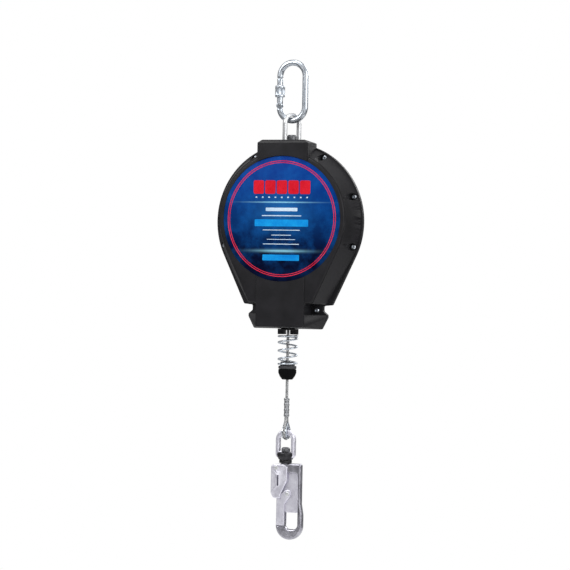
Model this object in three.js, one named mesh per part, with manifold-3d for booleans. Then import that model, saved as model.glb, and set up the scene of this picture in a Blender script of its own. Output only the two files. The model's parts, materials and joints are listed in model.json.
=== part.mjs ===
// Self-retracting lifeline. Millimetres, +Z up, the front faces -Y.
// The origin is the centre of the flat back face, on the drum's axis.
import * as THREE from 'three';
import { mergeVertices } from 'three/addons/utils/BufferGeometryUtils.js';
import Module from 'manifold-3d';

const wasm = await Module();
wasm.setup();

// ---------- driving dimensions ----------

// casing
const CASE_DEPTH = 84;
const MID = -CASE_DEPTH / 2;
const GAP = 0.3;
const WALL = 4.5;
const FLANGE = { r: 134.5, z: -4, taper: 25.5 };
const FLANGE_T = 4;
const PLATEAU = { r: 115, taper: 25.5 };
const FOOT = { r: 131.5, z: -4, taper: 29.5 };
const SHOULDER_DROP = 1.6;
const BLOCK = { hw: 46.5, crestHw: 38, face: 128.8, crest: 134.5, parting: 130 };
const HUMP = { hw: 21.5, top: 125.5 };
const LABEL_R = 106.5;
const SCREW_R = 125.5;
const SCREW_ANGLES = [30, 70, 109.5];
const SCREW_POCKET_R = 6.2;
const NECK_SCREW = { x: 53.9, z: -155 };
const PAD = { low: -43, high: 36.4, edge: 115.3, ridge: 120.5, foot: 131.4 };

// anchor swivel and carabiner
const RECESS_R = 20;
const RECESS_Z = 125.5;
const EYE_TURN = 60;
const EYE = { hw: 18.5, window: 11.8, bottom: 126, sill: 134.3, arc: 163, t: 8 };
const CARAB = { rod: 5.25, bend: 23.25, low: 192.3, high: 244.8 };
const GATE_PIVOT_Z = 195;
const GATE_TOP_Z = 241;

// frame, drum, brake and spring, as distances from the casing's middle
const PLATE = { inner: 32, outer: 35, hw: 36, top: 121, bottom: -108 };
const TIE = { x: 26, z: 100, r: 4.5 };
const SHAFT_R = 8;
const DRUM = { flange: 94, hub: 47, bore: 12.4, front: -13.5, back: 17.5, cheek: 2.5 };
const COIL_R = 85;
const ROPE_R = 2.5;
const RUN_R = COIL_R + GAP + ROPE_R;
const RING = { outer: 97.5, root: 86, tip: 78, teeth: 12, front: -29, back: -19 };
const PAWL_R = 56;

// outlet, bumper and line, as heights
const OUTLET_Z = -187.4;
const RUN_END_Z = -163;
const NOZZLE = { r: 18, bottom: -196.8, lugIn: 6, lugHalf: 6 };
const SPRING = { top: -198.7, bottom: -248.6, rTop: 16.1, rBottom: 15.6, wire: 1.6, turns: 4 };
const SEAT = { top: -243, shoulder: -250.5, bottom: -255.8, r: 15.6, hub: 12.9 };
const STOPPER = { top: -256.2, bottom: -274, r: 15.5 };
const FERRULE = { top: -305.6, bottom: -338, r: 4.8 };
const BAR_Z = -364.8;

// snap hook
const HOOK_EYE = { hw: 17.6, window: 10.3, top: -359.3, bottom: -408.6, sill: -398, t: 10 };
const CUP = { r: 15, top: -398.3, knee: -406, low: 11.5, bottom: -411.3 };
const WEB = 3.5;
const HOOK_T = 12;
const HOOK_PIVOT = { x: 6.5, z: -469 };
const LEVER_PIVOT = { x: -13.5, z: -425 };

// ---------- materials ----------

const finish = (color, roughness, metalness) =>
  new THREE.MeshStandardMaterial({ color, roughness, metalness });

const blackPlastic = () => finish(0x2b2a2f, 0.5, 0);
const rubber = () => finish(0x1d1d1f, 0.85, 0);
const blueLabel = () => finish(0x073f82, 0.4, 0);
const zinc = () => finish(0xc3c6cc, 0.35, 0.9);
const forged = () => finish(0xc2c0ca, 0.45, 0.85);
const steel = () => finish(0xa9abad, 0.4, 0.9);
const darkSteel = () => finish(0x4b4c50, 0.45, 0.85);
const aluminium = () => finish(0xb9bcc0, 0.45, 0.85);
const nylon = () => finish(0x3a3a3c, 0.6, 0);
const friction = () => finish(0x6b4a36, 0.9, 0);
const bronze = () => finish(0xa8844e, 0.45, 0.85);

// ---------- shape helpers ----------

const rad = THREE.MathUtils.degToRad;
const group = new THREE.Group();
group.name = 'self_retracting_lifeline';

/** A manifold solid of a closed three.js geometry. */
function solid(geometry) {
  geometry.deleteAttribute('normal');
  geometry.deleteAttribute('uv');
  const merged = mergeVertices(geometry, 1e-4);
  return new wasm.Manifold(new wasm.Mesh({
    numProp: 3,
    vertProperties: new Float32Array(merged.attributes.position.array),
    triVerts: new Uint32Array(merged.index.array),
  }));
}

/** Adds one named piece to the group. */
function piece(name, body, material) {
  const made = body.getMesh();
  const geometry = new THREE.BufferGeometry();
  geometry.setAttribute('position', new THREE.BufferAttribute(new Float32Array(made.vertProperties), 3));
  geometry.setIndex(new THREE.BufferAttribute(new Uint32Array(made.triVerts), 1));
  geometry.computeVertexNormals();
  const mesh = new THREE.Mesh(geometry, material);
  mesh.name = name;
  group.add(mesh);
}

/** A closed shape through [x, z] corners. */
function outline(corners) {
  const shape = new THREE.Shape();
  corners.forEach(([x, z], i) => (i ? shape.lineTo(x, z) : shape.moveTo(x, z)));
  shape.closePath();
  return shape;
}

/** A shape in X and Z made solid from y = front to y = back, edges rounded by round. */
function plate(shape, front, back, round = 0, curveSegments = 12) {
  const geometry = new THREE.ExtrudeGeometry(shape, {
    depth: back - front - 2 * round,
    curveSegments,
    bevelEnabled: round > 0,
    bevelThickness: round,
    bevelSize: round,
    bevelOffset: -round,
    bevelSegments: 2,
  });
  geometry.rotateX(Math.PI / 2);
  geometry.translate(0, back - round, 0);
  return solid(geometry);
}

/** A shape in X and Z centred on the casing's middle, t thick. */
function midPlate(shape, t, round = 0, curveSegments = 12) {
  return plate(shape, MID - t / 2, MID + t / 2, round, curveSegments);
}

/** A cylinder along Y between two distances from the casing's middle. */
function alongY(r, from, to, x = 0, z = 0, sides = 24) {
  const geometry = new THREE.CylinderGeometry(r, r, to - from, sides);
  geometry.translate(x, MID + (from + to) / 2, z);
  return solid(geometry);
}

/** A tube wall along Y. */
function ringY(outer, inner, from, to, sides = 48) {
  return alongY(outer, from, to, 0, 0, sides).subtract(alongY(inner, from - 1, to + 1, 0, 0, sides));
}

/** A cylinder or cone along Z on the swivel axis. */
function alongZ(rLow, rHigh, low, high, x = 0, sides = 24) {
  const geometry = new THREE.CylinderGeometry(rHigh, rLow, high - low, sides);
  geometry.rotateX(Math.PI / 2);
  geometry.translate(x, MID, (low + high) / 2);
  return solid(geometry);
}

/** A box from its limits; depth is given from the casing's middle. */
function box(x0, x1, from, to, z0, z1) {
  const geometry = new THREE.BoxGeometry(x1 - x0, to - from, z1 - z0);
  geometry.translate((x0 + x1) / 2, MID + (from + to) / 2, (z0 + z1) / 2);
  return solid(geometry);
}

/** A round bar along a curve. */
function bar(curve, r, steps, sides) {
  const section = new THREE.Shape();
  section.absarc(0, 0, r, 0, 2 * Math.PI);
  return solid(new THREE.ExtrudeGeometry(section, {
    extrudePath: curve, steps, curveSegments: sides / 2, bevelEnabled: false,
  }));
}

/** All solids joined. */
const joined = (first, ...rest) => rest.reduce((a, b) => a.add(b), first);

/** The first solid with the others cut away. */
const cut = (first, ...rest) => rest.reduce((a, b) => a.subtract(b), first);

/** Mirrors a solid front to back about the casing's middle. */
const flipped = (body) => body.mirror([0, 1, 0]).translate([0, 2 * MID, 0]);

// ---------- casing ----------

/** A round body centred at height z0, with a tangent taper and lower corners down to the bottom. */
function bodyShape(r, z0, taper, lower) {
  const a = rad(taper);
  const edge = (z) => r * Math.cos(a) + Math.tan(a) * (z - z0 + r * Math.sin(a));
  const corners = [[edge(lower[0][1]), lower[0][1]], ...lower.slice(1)];
  const shape = new THREE.Shape();
  shape.absarc(0, z0, r, -a, Math.PI + a, false);
  corners.forEach(([x, z]) => shape.lineTo(-x, z));
  corners.reverse().forEach(([x, z]) => shape.lineTo(x, z));
  shape.closePath();
  return shape;
}

/** The raised part's outline, moved inwards by inset. */
function plateauShape(inset) {
  const tongue = 44 - inset;
  return bodyShape(PLATEAU.r - inset, 0, PLATEAU.taper, [
    [0, -144 + inset],
    [tongue, -144 + inset],
    [tongue, -184 + inset],
  ]);
}

const flangeShape = bodyShape(FLANGE.r, FLANGE.z, FLANGE.taper, [
  [0, -145.5], [65, -147], [65, -156], [72.5, -162], [72.5, -167], [62, -187],
]);
const flankFoot = bodyShape(FOOT.r, FOOT.z, FOOT.taper, [[0, -144.5]]);
const flankEdge = bodyShape(PLATEAU.r, 0, PLATEAU.taper, [[0, -143.5]]);

const screwSpots = [];
for (const side of [1, -1]) {
  for (const angle of SCREW_ANGLES) {
    screwSpots.push({
      x: side * SCREW_R * Math.sin(rad(angle)),
      z: FLANGE.z + SCREW_R * Math.cos(rad(angle)),
    });
  }
  screwSpots.push({ x: side * NECK_SCREW.x, z: NECK_SCREW.z });
}

/** A shape in Y and Z, as [distance from the middle, height] corners, made solid from x = -hw to hw. */
function acrossCase(corners, hw) {
  const geometry = new THREE.ExtrudeGeometry(outline(corners), { depth: 2 * hw, bevelEnabled: false });
  geometry.rotateY(Math.PI / 2);
  geometry.rotateX(Math.PI / 2);
  geometry.translate(-hw, MID, 0);
  return solid(geometry);
}

/** A cone along Y through the grip pads, between two distances from the casing's middle. */
function padCone(rFrom, rTo, from, to) {
  const geometry = new THREE.CylinderGeometry(rTo, rFrom, to - from, 48);
  geometry.translate(0, MID + (from + to) / 2, (PAD.low + PAD.high) / 2 + 1.3);
  return solid(geometry);
}

/** The two parts of the casing, both as the front part: the top of each is its own. */
function cover(top, cavityTop, drop) {
  const parting = MID - GAP / 2;
  const face = -CASE_DEPTH + drop;
  const raised = plate(plateauShape(0), face, parting + 8, 3, 20)
    .intersect(box(-200, 200, MID, -GAP / 2, -250, 250));
  const flange = plate(flangeShape, MID - FLANGE_T, parting, 0, 24);
  const flank = joined(
    plate(flankEdge, MID - 38, MID - 37, 0, 20),
    plate(flankFoot, MID - 5, MID - FLANGE_T, 0, 20),
  ).hull();
  const toe = joined(
    plate(outline([[-44, -162], [44, -162], [44, -183], [-44, -183]]), MID - 39.5, MID - 39),
    plate(outline([
      [-71.5, -162.2], [71.5, -162.2], [71.5, -167], [61.5, -186.5], [-61.5, -186.5], [-71.5, -167],
    ]), MID - 5, MID - FLANGE_T),
  ).hull();
  const padBand = joined(
    box(100, 140, -37.6, -FLANGE_T, PAD.low, PAD.high),
    box(-140, -100, -37.6, -FLANGE_T, PAD.low, PAD.high),
  );
  const padKept = joined(
    padCone(PAD.edge, PAD.ridge, -38, -20),
    padCone(PAD.ridge, PAD.foot, -20, -3),
  );
  const pockets = screwSpots
    .filter((s) => s.z > NECK_SCREW.z)
    .map((s) => alongY(SCREW_POCKET_R, -50, -FLANGE_T, s.x, s.z, 20));
  const cavity = plate(plateauShape(WALL), -CASE_DEPTH + WALL, MID + 1, 0, 14);
  return cut(
    joined(flange, cut(flank, padBand.subtract(padKept), ...pockets), raised, toe, top),
    cavity,
    cavityTop,
    alongZ(RECESS_R, RECESS_R, RECESS_Z, 140, 0, 24),
    alongZ(5.5, 5.5, 115, 130, 0, 12),
    alongZ(12.5, 12.5, -190, -175, 0, 20),
    ...screwSpots.map((s) => alongY(2.3, -6, 0, s.x, s.z, 8)),
  );
}

const labelSeat = alongY(LABEL_R + GAP, -50, -39.6, 0, 0, 48);
const block = acrossCase([
  [-42, 98], [-42, BLOCK.face], [-40.8, 132.6], [-38, BLOCK.crest], [-0.15, BLOCK.parting], [-0.15, 98],
], BLOCK.hw).intersect(plate(outline([
  [-BLOCK.hw, 95], [BLOCK.hw, 95], [BLOCK.hw, BLOCK.face], [BLOCK.crestHw, BLOCK.crest + 0.1],
  [-BLOCK.crestHw, BLOCK.crest + 0.1], [-BLOCK.hw, BLOCK.face],
]), -CASE_DEPTH - 1, MID));
const tongue = plate(outline([[-44, -95], [44, -95], [44, -184], [-44, -184]]), -CASE_DEPTH, MID - 36, 2)
  .intersect(box(-50, 50, -42, -36, -184, -95));
const blockCavity = box(-37, 37, -37.5, 1, 90, 121.65);
const hump = box(-HUMP.hw, HUMP.hw, -40, -GAP / 2, 100, HUMP.top);
const humpCavity = box(-17.4, 17.4, -37.5, 1, 90, 121.65);

piece('front_cover', cover(joined(block, tongue), blockCavity, SHOULDER_DROP)
  .subtract(labelSeat), blackPlastic());
piece('rear_cover', flipped(cover(hump, humpCavity, 0)), blackPlastic());
piece('front_label', alongY(LABEL_R, -40.3, -39.9, 0, 0, 48), blueLabel());

screwSpots.forEach((s, i) => {
  const head = joined(
    alongY(4.5, -6, -FLANGE_T - GAP, s.x, s.z, 14),
    alongY(3.4, -7, -5.9, s.x, s.z, 12),
    alongY(2, -5, FLANGE_T - 0.5, s.x, s.z, 6),
  );
  const socket = alongY(1.8, -8, -5.4, s.x, s.z, 6);
  piece(`housing_screw_${i + 1}`, head.subtract(socket), zinc());
});

// ---------- load frame ----------

/** A frame plate between two distances from the casing's middle. */
function framePlate(from, to) {
  const { hw, top, bottom } = PLATE;
  const strap = plate(outline([
    [-17, top], [17, top], [17, 108], [31, 103.5], [hw, 98], [hw, bottom + 6],
    [hw - 6, bottom], [-hw + 6, bottom], [-hw, bottom + 6], [-hw, 98], [-31, 103.5], [-17, 108],
  ]), MID + from, MID + to);
  const ties = [-1, 1].flatMap((sx) => [-1, 1].map((sz) =>
    alongY(2.9, from - 1, to + 1, sx * TIE.x, sz * TIE.z, 10)));
  const windows = [-1, 1].map((s) => alongY(14, from - 1, to + 1, 0, s * 62, 16));
  return cut(
    strap,
    alongY(6.35, from - 1, to + 1, 0, 0, 16),
    box(-9.4, 9.4, from - 1, to + 1, 108.6, 118.4),
    ...ties,
    ...windows,
  );
}

piece('frame_plate_front', framePlate(-PLATE.outer, -PLATE.inner), steel());
piece('frame_plate_rear', framePlate(PLATE.inner, PLATE.outer), steel());

const span = PLATE.inner - GAP;
let tieNumber = 1;
for (const sx of [-1, 1]) {
  for (const sz of [1, -1]) {
    const x = sx * TIE.x;
    const z = sz * TIE.z;
    piece(`frame_tie_${tieNumber}`, joined(
      alongY(TIE.r, -span, span, x, z, 10),
      alongY(2.5, -36.6, 36.6, x, z, 8),
      alongY(TIE.r, -37.2, -PLATE.outer - GAP, x, z, 6),
      alongY(TIE.r, PLATE.outer + GAP, 37.2, x, z, 6),
    ), darkSteel());
    tieNumber += 1;
  }
}

piece('main_shaft', joined(
  alongY(SHAFT_R, -span, span, 0, 0, 20),
  alongY(6, -36.5, 36.5, 0, 0, 14),
  alongY(9, -37, -PLATE.outer - GAP, 0, 0, 16),
  alongY(9, PLATE.outer + GAP, 37, 0, 0, 16),
), steel());

piece('anchor_crossbar', joined(
  box(-16, 16, -span, span, 107, 120.5),
  box(-9, 9, -PLATE.outer, PLATE.outer, 109, 118),
).subtract(alongZ(5.4, 5.4, 100, 125)), steel());

// ---------- drum, rope and brake ----------

const { front, back, cheek } = DRUM;
const pawlHoles = [1, -1].map((s) => alongY(3.5, front - 1, front + cheek + 1, 0, s * PAWL_R, 16));
const webHoles = [0, 1, 2, 3, 4, 5].map((i) =>
  alongY(7, -2, 6, 31 * Math.cos(rad(60 * i + 30)), 31 * Math.sin(rad(60 * i + 30)), 8));
piece('cable_drum', cut(
  joined(
    alongY(DRUM.flange, front, front + cheek, 0, 0, 44),
    alongY(DRUM.flange, back - cheek, back, 0, 0, 44),
    alongY(DRUM.hub, front + 1, back - 1, 0, 0, 28),
  ),
  ringY(DRUM.hub - 5, 18, 4, back + 1, 20),
  ringY(DRUM.hub - 5, 18, front - 1, 0, 20),
  ...webHoles,
  ...pawlHoles,
).add(alongY(18, 2, 29, 0, 0, 20)).subtract(alongY(DRUM.bore, front - 1, 30, 0, 0, 20)), aluminium());

piece('rope_coil', ringY(COIL_R, DRUM.hub + GAP, front + cheek + 0.4, back - cheek - 0.4, 36), steel());
piece('drum_bearing_front', ringY(DRUM.bore - GAP, SHAFT_R + GAP, front + 0.5, front + 8.5, 16), bronze());
piece('drum_bearing_rear', ringY(DRUM.bore - GAP, SHAFT_R + GAP, 20.5, 28.5, 16), bronze());

/** The toothed inner edge of the ratchet ring. */
function ratchetShape() {
  const shape = new THREE.Shape();
  shape.absarc(0, 0, RING.outer, 0, 2 * Math.PI);
  const teeth = new THREE.Path();
  for (let i = 0; i < RING.teeth; i += 1) {
    const a = rad(i * 360 / RING.teeth + 6);
    const corners = [[RING.tip, 0], [RING.tip, 3], [RING.root, 9], [RING.root, 17], [RING.root, 25]];
    corners.forEach(([r, d], k) => {
      const x = r * Math.cos(a + rad(d));
      const z = r * Math.sin(a + rad(d));
      if (i + k === 0) teeth.moveTo(x, z);
      else teeth.lineTo(x, z);
    });
  }
  teeth.closePath();
  shape.holes.push(teeth);
  return shape;
}

piece('ratchet_ring', plate(ratchetShape(), MID + RING.front, MID + RING.back, 0, 14), steel());
piece('brake_disc_front', ringY(RING.outer, 88, -span, RING.front - GAP, 28), friction());
piece('brake_disc_rear', ringY(RING.outer, 88, RING.back + GAP, -16.6, 28), friction());
piece('brake_pressure_ring', ringY(RING.outer, 88, -16.3, -14, 28), steel());

/** A pawl above the drum's axis, its nose to the right. */
const pawlShape = outline([
  [-9, PAWL_R - 5], [0, PAWL_R - 6], [8, PAWL_R - 2], [20, PAWL_R + 6], [27, PAWL_R + 13],
  [23, PAWL_R + 16], [10, PAWL_R + 9], [0, PAWL_R + 6], [-12, PAWL_R + 3],
]);
const pawl = plate(pawlShape, MID - 27, MID - 20).subtract(alongY(3.6, -30, -18, 0, PAWL_R, 16));
const pawlPin = joined(
  alongY(3.2, -28.5, front + cheek - 0.3, 0, PAWL_R, 10),
  alongY(5, -29, -27.3, 0, PAWL_R, 10),
  alongY(5, -19.7, front - GAP, 0, PAWL_R, 10),
);
piece('pawl_1', pawl, darkSteel());
piece('pawl_2', pawl.rotate([0, 180, 0]), darkSteel());
piece('pawl_pin_1', pawlPin, steel());
piece('pawl_pin_2', pawlPin.rotate([0, 180, 0]), steel());

// ---------- power spring ----------

piece('spring_case', joined(
  ringY(80, 19, 29.6, span, 28),
  ringY(80, 77.5, 18.3, 30, 28),
), steel());

/** A flat spiral ribbon seen along Y. */
function spiralShape(r0, r1, turns, thick, steps) {
  const at = (i, offset) => {
    const a = 2 * Math.PI * turns * i / steps;
    const r = r0 + (r1 - r0) * i / steps + offset;
    return [r * Math.cos(a), r * Math.sin(a)];
  };
  const inner = Array.from({ length: steps + 1 }, (_, i) => at(i, 0));
  const outer = Array.from({ length: steps + 1 }, (_, i) => at(i, thick));
  return outline([...inner, ...outer.reverse()]);
}

piece('power_spring', plate(spiralShape(19, 75.5, 6, 1.4, 84), MID + 19.5, MID + 28.8), darkSteel());

// ---------- outlet, bumper and line ----------

const lugs = alongZ(NOZZLE.r, NOZZLE.r, NOZZLE.bottom, OUTLET_Z, 0, 28)
  .intersect(box(-30, 30, -NOZZLE.lugHalf, NOZZLE.lugHalf, -200, -180))
  .subtract(box(-NOZZLE.lugIn, NOZZLE.lugIn, -30, 30, -200, -180));
piece('outlet_nozzle', cut(
  joined(
    lugs,
    alongZ(NOZZLE.r, NOZZLE.r, OUTLET_Z - 2, OUTLET_Z, 0, 28),
    alongZ(12.1, 12.1, OUTLET_Z - 1, -166, 0, 20),
  ),
  alongZ(6.6, 6.6, -200, -160),
), blackPlastic());

piece('cable_outlet_guide', cut(
  joined(alongZ(6.2, 6.2, -188.6, -164), alongZ(10, 10, -165.7, -160)),
  alongZ(3, 3, -200, -159),
  alongZ(3, 5.5, -163, -159.9),
), nylon());

const leave = Math.acos(RUN_R / 150);
const runStart = new THREE.Vector3(-RUN_R * Math.sin(leave), MID, -RUN_R * Math.cos(leave));
const runKnee = new THREE.Vector3(0, MID, -150);
const runBend = runStart.clone().lerp(runKnee, 0.9);
const runPath = new THREE.CurvePath();
runPath.add(new THREE.LineCurve3(runStart, runBend));
runPath.add(new THREE.QuadraticBezierCurve3(runBend, runKnee, new THREE.Vector3(0, MID, -157)));
runPath.add(new THREE.LineCurve3(new THREE.Vector3(0, MID, -157), new THREE.Vector3(0, MID, RUN_END_Z)));
piece('rope_inner_run', bar(runPath, ROPE_R, 16, 8), steel());

/** The bumper spring's centre line, a helix that narrows downwards. */
class Helix extends THREE.Curve {
  getPoint(t, target = new THREE.Vector3()) {
    const a = 2 * Math.PI * SPRING.turns * t;
    const r = SPRING.rTop + (SPRING.rBottom - SPRING.rTop) * t;
    return target.set(r * Math.cos(a), MID + r * Math.sin(a), SPRING.top + (SPRING.bottom - SPRING.top) * t);
  }
}

piece('bumper_spring', bar(new Helix(), SPRING.wire, 56, 6), zinc());

piece('bumper_seat', cut(
  joined(
    alongZ(SEAT.r, SEAT.r, SEAT.bottom, SEAT.shoulder, 0, 24),
    alongZ(SEAT.hub, SEAT.hub - 1.5, SEAT.shoulder - 1, SEAT.top, 0, 24),
  ),
  alongZ(3, 3, -270, -230),
), nylon());

piece('wire_rope', alongZ(ROPE_R, ROPE_R, FERRULE.top - 10, RUN_END_Z - GAP, 0, 12), steel());

piece('rope_stopper', cut(
  joined(
    alongZ(STOPPER.r, STOPPER.r, STOPPER.top - 7, STOPPER.top, 0, 24),
    alongZ(13, STOPPER.r, STOPPER.top - 12.5, STOPPER.top - 7, 0, 24),
    alongZ(8.5, 13, STOPPER.bottom, STOPPER.top - 12.5, 0, 24),
  ),
  alongZ(2.8, 2.8, -280, -250),
), rubber());

piece('rope_ferrule', joined(
  alongZ(FERRULE.r, FERRULE.r, FERRULE.bottom + 1, FERRULE.top - 1, 0, 16),
  alongZ(FERRULE.r - 1, FERRULE.r, FERRULE.bottom, FERRULE.bottom + 1, 0, 16),
  alongZ(FERRULE.r, FERRULE.r - 1, FERRULE.top - 1, FERRULE.top, 0, 16),
).subtract(alongZ(2.8, 2.8, FERRULE.top - 10.4, FERRULE.top + 1)), aluminium());

/** The rope's eye in the plane x = 0, as [distance from the middle, height above the bar]. */
const LOOP_R = 10.6;
const loopSide = [[2.7, 26.3], [3.6, 20.5], [7.6, 9.5]];
const loopArc = [0, 1, 2, 3, 4, 5, 6].map((i) => {
  const a = rad(180 + 30 * i);
  return [LOOP_R * Math.cos(a), LOOP_R * Math.sin(a)];
});
const loopPoints = [
  ...loopSide.map(([v, h]) => [-v, h]),
  ...loopArc,
  ...loopSide.slice().reverse(),
].map(([v, h]) => new THREE.Vector3(0, MID + v, BAR_Z + h));
const loopPath = new THREE.CatmullRomCurve3(loopPoints);
piece('rope_loop', bar(loopPath, ROPE_R, 24, 8), steel());

/** The thimble's outline in Y and Z, tangent from its crown to the round end. */
function dropShape(r, crown) {
  const a = Math.asin(r / crown);
  const shape = new THREE.Shape();
  shape.moveTo(0, crown);
  shape.lineTo(r * Math.cos(a), r * Math.sin(a));
  shape.absarc(0, 0, r, a, Math.PI - a, true);
  shape.closePath();
  return shape;
}

/** A shape in Y and Z around the hook bar, made solid across X. */
function acrossX(shape, t) {
  const geometry = new THREE.ExtrudeGeometry(shape, { depth: t, bevelEnabled: false, curveSegments: 14 });
  geometry.rotateY(Math.PI / 2);
  geometry.rotateX(Math.PI / 2);
  geometry.translate(-t / 2, MID, BAR_Z);
  return solid(geometry);
}

piece('rope_thimble', cut(
  acrossX(dropShape(11, 18.5), 8.6),
  acrossX(dropShape(6.7, 13.2), 12),
  bar(loopPath, ROPE_R + 0.4, 24, 8),
), zinc());

// ---------- anchor swivel ----------

const eyeShape = new THREE.Shape();
eyeShape.moveTo(-EYE.hw + 3, EYE.bottom);
eyeShape.lineTo(EYE.hw - 3, EYE.bottom);
eyeShape.lineTo(EYE.hw, EYE.bottom + 3);
eyeShape.absarc(0, EYE.arc, EYE.hw, 0, Math.PI);
eyeShape.lineTo(-EYE.hw, EYE.bottom + 3);
const eyeWindow = new THREE.Path();
eyeWindow.moveTo(-EYE.window, EYE.sill);
eyeWindow.lineTo(EYE.window, EYE.sill);
eyeWindow.absarc(0, EYE.arc + 1.4, EYE.window, 0, Math.PI);
eyeWindow.closePath();
eyeShape.holes.push(eyeWindow);

/** Turns a solid about the swivel axis. */
const turned = (body, angle) => body.translate([0, -MID, 0]).rotate([0, 0, angle]).translate([0, MID, 0]);

piece('anchor_eye', turned(
  midPlate(eyeShape, EYE.t, 1.6, 8).subtract(alongZ(5.4, 5.4, 120, 140)),
  EYE_TURN,
), steel());

piece('anchor_swivel_bolt', joined(
  alongZ(8, 8, EYE.sill + 0.4, EYE.sill + 8, 0, 24),
  alongZ(8, 6.4, EYE.sill + 8, EYE.sill + 10, 0, 24),
  alongZ(5, 5, 99, EYE.sill + 1, 0, 20),
), darkSteel());

const nut = new THREE.CylinderGeometry(9, 9, 6.6, 6);
nut.rotateX(Math.PI / 2);
nut.translate(0, MID, 103.2);
piece('anchor_swivel_nut', solid(nut).subtract(alongZ(5.3, 5.3, 95, 110)), darkSteel());

// ---------- carabiner ----------

const carabX = -CARAB.bend;

/** Half a turn of the carabiner's bend, centred at height z. */
const bend = (z, from) => new (class extends THREE.Curve {
  getPoint(t, target = new THREE.Vector3()) {
    const a = rad(from - 180 * t);
    return target.set(CARAB.bend * Math.cos(a), MID, z + CARAB.bend * Math.sin(a));
  }
})();
const v3 = (x, z) => new THREE.Vector3(x, MID, z);
const carabPath = new THREE.CurvePath();
carabPath.add(new THREE.LineCurve3(v3(carabX, GATE_TOP_Z + 0.7), v3(carabX, CARAB.high)));
carabPath.add(bend(CARAB.high, 180));
carabPath.add(new THREE.LineCurve3(v3(-carabX, CARAB.high), v3(-carabX, CARAB.low)));
carabPath.add(bend(CARAB.low, 0));

piece('carabiner_body', joined(
  bar(carabPath, CARAB.rod, 36, 10).subtract(box(-40, 0, -8, 8, GATE_PIVOT_Z - 6, GATE_PIVOT_Z + 6)),
  box(carabX - 3.2, carabX + 3.2, -2.2, 2.2, GATE_PIVOT_Z - 9, GATE_PIVOT_Z + 4.4),
).subtract(alongY(1.8, -8, 8, carabX, GATE_PIVOT_Z, 16)), zinc());

piece('carabiner_gate', cut(
  alongZ(5.2, 5.2, GATE_PIVOT_Z, GATE_TOP_Z, carabX, 16)
    .add(alongY(5.2, -4.6, 4.6, carabX, GATE_PIVOT_Z, 16)),
  box(-40, 0, -2.6, 2.6, GATE_PIVOT_Z - 7, GATE_PIVOT_Z + 6.2),
  alongY(1.8, -8, 8, carabX, GATE_PIVOT_Z, 16),
), zinc());

piece('carabiner_gate_pin', alongY(1.5, -4.9, 4.9, carabX, GATE_PIVOT_Z, 12), darkSteel());

const grip = [0, 1, 2, 3, 4, 5].map((i) => {
  const groove = alongZ(1, 1, 200, 240, 0, 8).translate([8.9, 0, 0]);
  return turned(groove, 60 * i + 30).translate([carabX, 0, 0]);
});
piece('carabiner_sleeve', cut(
  alongZ(8.5, 8.5, 209, 229, carabX, 24),
  alongZ(5.7, 5.7, 200, 240, carabX, 16),
  ...grip,
), zinc());

// ---------- hook swivel ----------

const hookEyeShape = new THREE.Shape();
const hookHw = HOOK_EYE.hw;
hookEyeShape.moveTo(-hookHw + 6, HOOK_EYE.bottom);
hookEyeShape.lineTo(hookHw - 6, HOOK_EYE.bottom);
hookEyeShape.lineTo(hookHw, HOOK_EYE.bottom + 7);
hookEyeShape.absarc(0, HOOK_EYE.top - hookHw, hookHw, 0, Math.PI, false);
hookEyeShape.lineTo(-hookHw, HOOK_EYE.bottom + 7);
hookEyeShape.closePath();
const barLow = 2 * BAR_Z - HOOK_EYE.top;
const hookEyeWindow = outline([
  [-HOOK_EYE.window, HOOK_EYE.sill], [HOOK_EYE.window, HOOK_EYE.sill],
  [HOOK_EYE.window, barLow - 4], [HOOK_EYE.window - 4, barLow],
  [-HOOK_EYE.window + 4, barLow], [-HOOK_EYE.window, barLow - 4],
]);
hookEyeShape.holes.push(hookEyeWindow);
piece('hook_swivel_eye', midPlate(hookEyeShape, HOOK_EYE.t, 2.4, 14).subtract(alongZ(4.35, 4.35, -412, -395)), forged());

const eyeClearance = box(-hookHw - 1, hookHw + 1, -HOOK_EYE.t / 2 - 0.2, HOOK_EYE.t / 2 + 0.2, HOOK_EYE.bottom - 0.2, -390);
piece('hook_swivel_cup', cut(
  joined(
    alongZ(CUP.r, CUP.r, CUP.knee, CUP.top, 0, 28),
    alongZ(CUP.low, CUP.r, CUP.bottom, CUP.knee, 0, 28),
  ),
  eyeClearance,
  alongZ(4.35, 4.35, -415, -395),
), darkSteel());

piece('hook_swivel_bolt', joined(
  alongZ(7.4, 7.4, -397.6, -391.5, 0, 20),
  alongZ(7.4, 5.6, -391.5, -390, 0, 20),
  alongZ(4, 4, -434, -397, 0, 16),
), darkSteel());

piece('hook_swivel_collar', alongZ(11, 11, -416.8, -411.7, 0, 24)
  .subtract(alongZ(4.35, 4.35, -420, -405)), darkSteel());

// ---------- snap hook ----------

const webShape = outline([
  [-17.5, -420.5], [-14.5, -418.5], [23, -418.5], [26.5, -422], [26.5, -501], [3, -501],
  [-5.5, -484], [-8.5, -474], [-11.5, -462], [-11.5, -434], [-17.5, -430],
]);
const bowShape = outline([
  [-7.7, -417.2], [27, -417.2], [30.5, -421], [30.5, -488], [33.5, -504], [33.5, -526], [31, -535.5], [25, -542.5],
  [14, -547.5], [4.5, -547.5], [-6.5, -542.5], [-12.5, -534.5], [-14.5, -525], [-14.5, -508], [1.5, -508], [1.5, -523],
  [6.5, -529.5], [20, -529.5], [25, -523.5], [25, -440], [18, -434], [-7.7, -434],
]);
const { x: px, z: pz } = HOOK_PIVOT;
const nose = box(-21.5, 10.5, -8, 8, -560, -505);
const tipClearance = alongY(47.2, -8, 8, px, pz, 48).intersect(nose);
const pockets = [-1, 1].map((s) => {
  const near = s > 0 ? WEB : -8;
  return alongY(58.9, near, near + 8 - WEB, px, pz, 48).intersect(box(-21.5, 22.5, -8, 8, -560, -500));
});
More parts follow.
